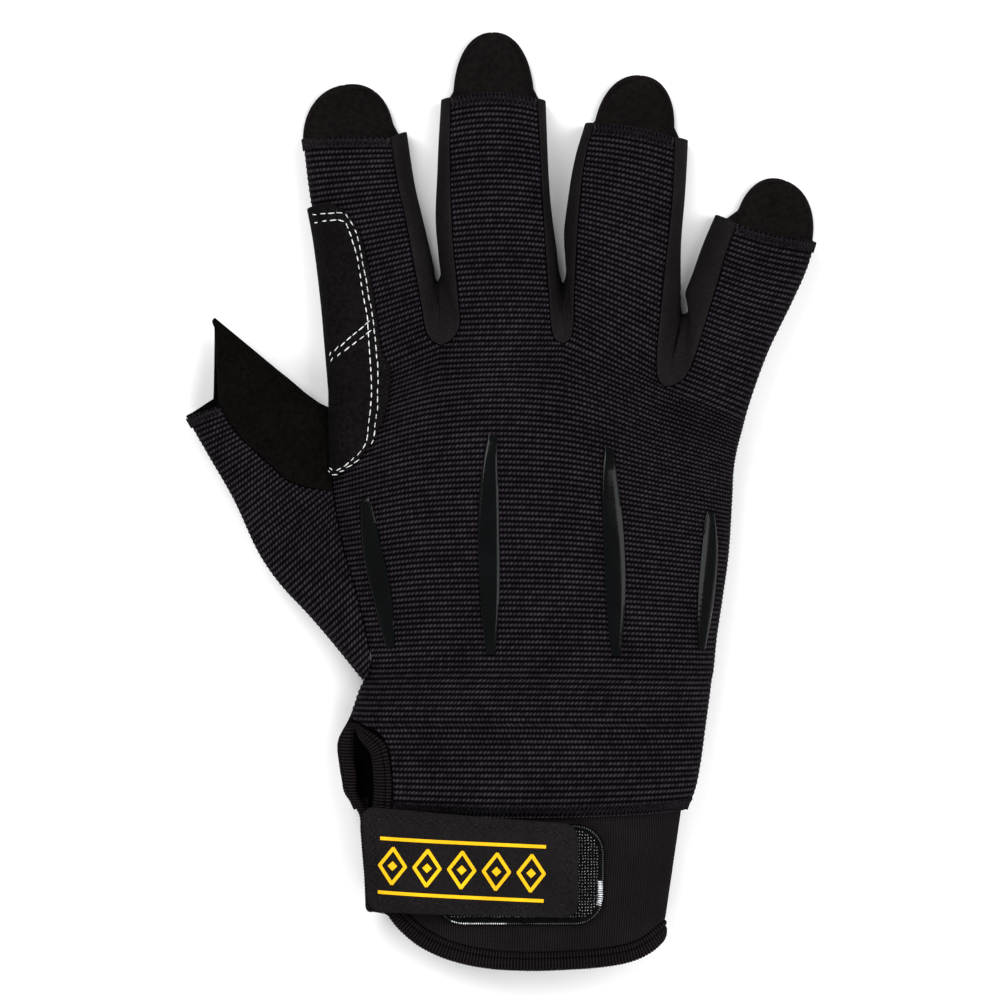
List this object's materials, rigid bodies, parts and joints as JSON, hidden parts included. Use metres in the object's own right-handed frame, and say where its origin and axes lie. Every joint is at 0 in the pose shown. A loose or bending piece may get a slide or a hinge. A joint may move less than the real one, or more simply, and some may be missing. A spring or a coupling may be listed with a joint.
{
  "type": "climbing glove",
  "caption": "Right-hand fingerless-tip climbing glove with a ribbed knit back, suede palm, side walls between the fingers, a vented cuff with bound edges and a strap.",
  "frame": {"origin": "middle of the glove's box in plan, on the plane that the palm rests on", "axes": "+Y towards the fingertips, +Z out of the back of the hand, the thumb on the -X side"},
  "size_m": [0.1579, 0.2346, 0.0248],
  "materials": {
    "knit": "ribbed knit, matt",
    "suede": "napped suede, matt",
    "sidewall": "smooth stretch cloth, matt",
    "cuff_jersey": "fine jersey, matt",
    "binding_tape": "ribbed binding tape, matt",
    "strap_cloth": "brushed cloth, matt",
    "hook_film": "moulded hook film, satin",
    "gloss_print": "printed gel, gloss"
  },
  "bodies": {
    "root": {"hand_back": "knit", "thumb_back": "knit", "palm": "suede", "thumb_palm": "suede", "index_patch": "suede", "sidewall_index_middle": "sidewall", "sidewall_middle_ring": "sidewall", "sidewall_ring_little": "sidewall", "gloss_bar_index": "gloss_print", "gloss_bar_middle": "gloss_print", "gloss_bar_ring": "gloss_print", "gloss_bar_little": "gloss_print", "cuff": "cuff_jersey", "edge_binding": "binding_tape", "closure_pad": "hook_film", "strap": "strap_cloth"}
  },
  "joints": []
}
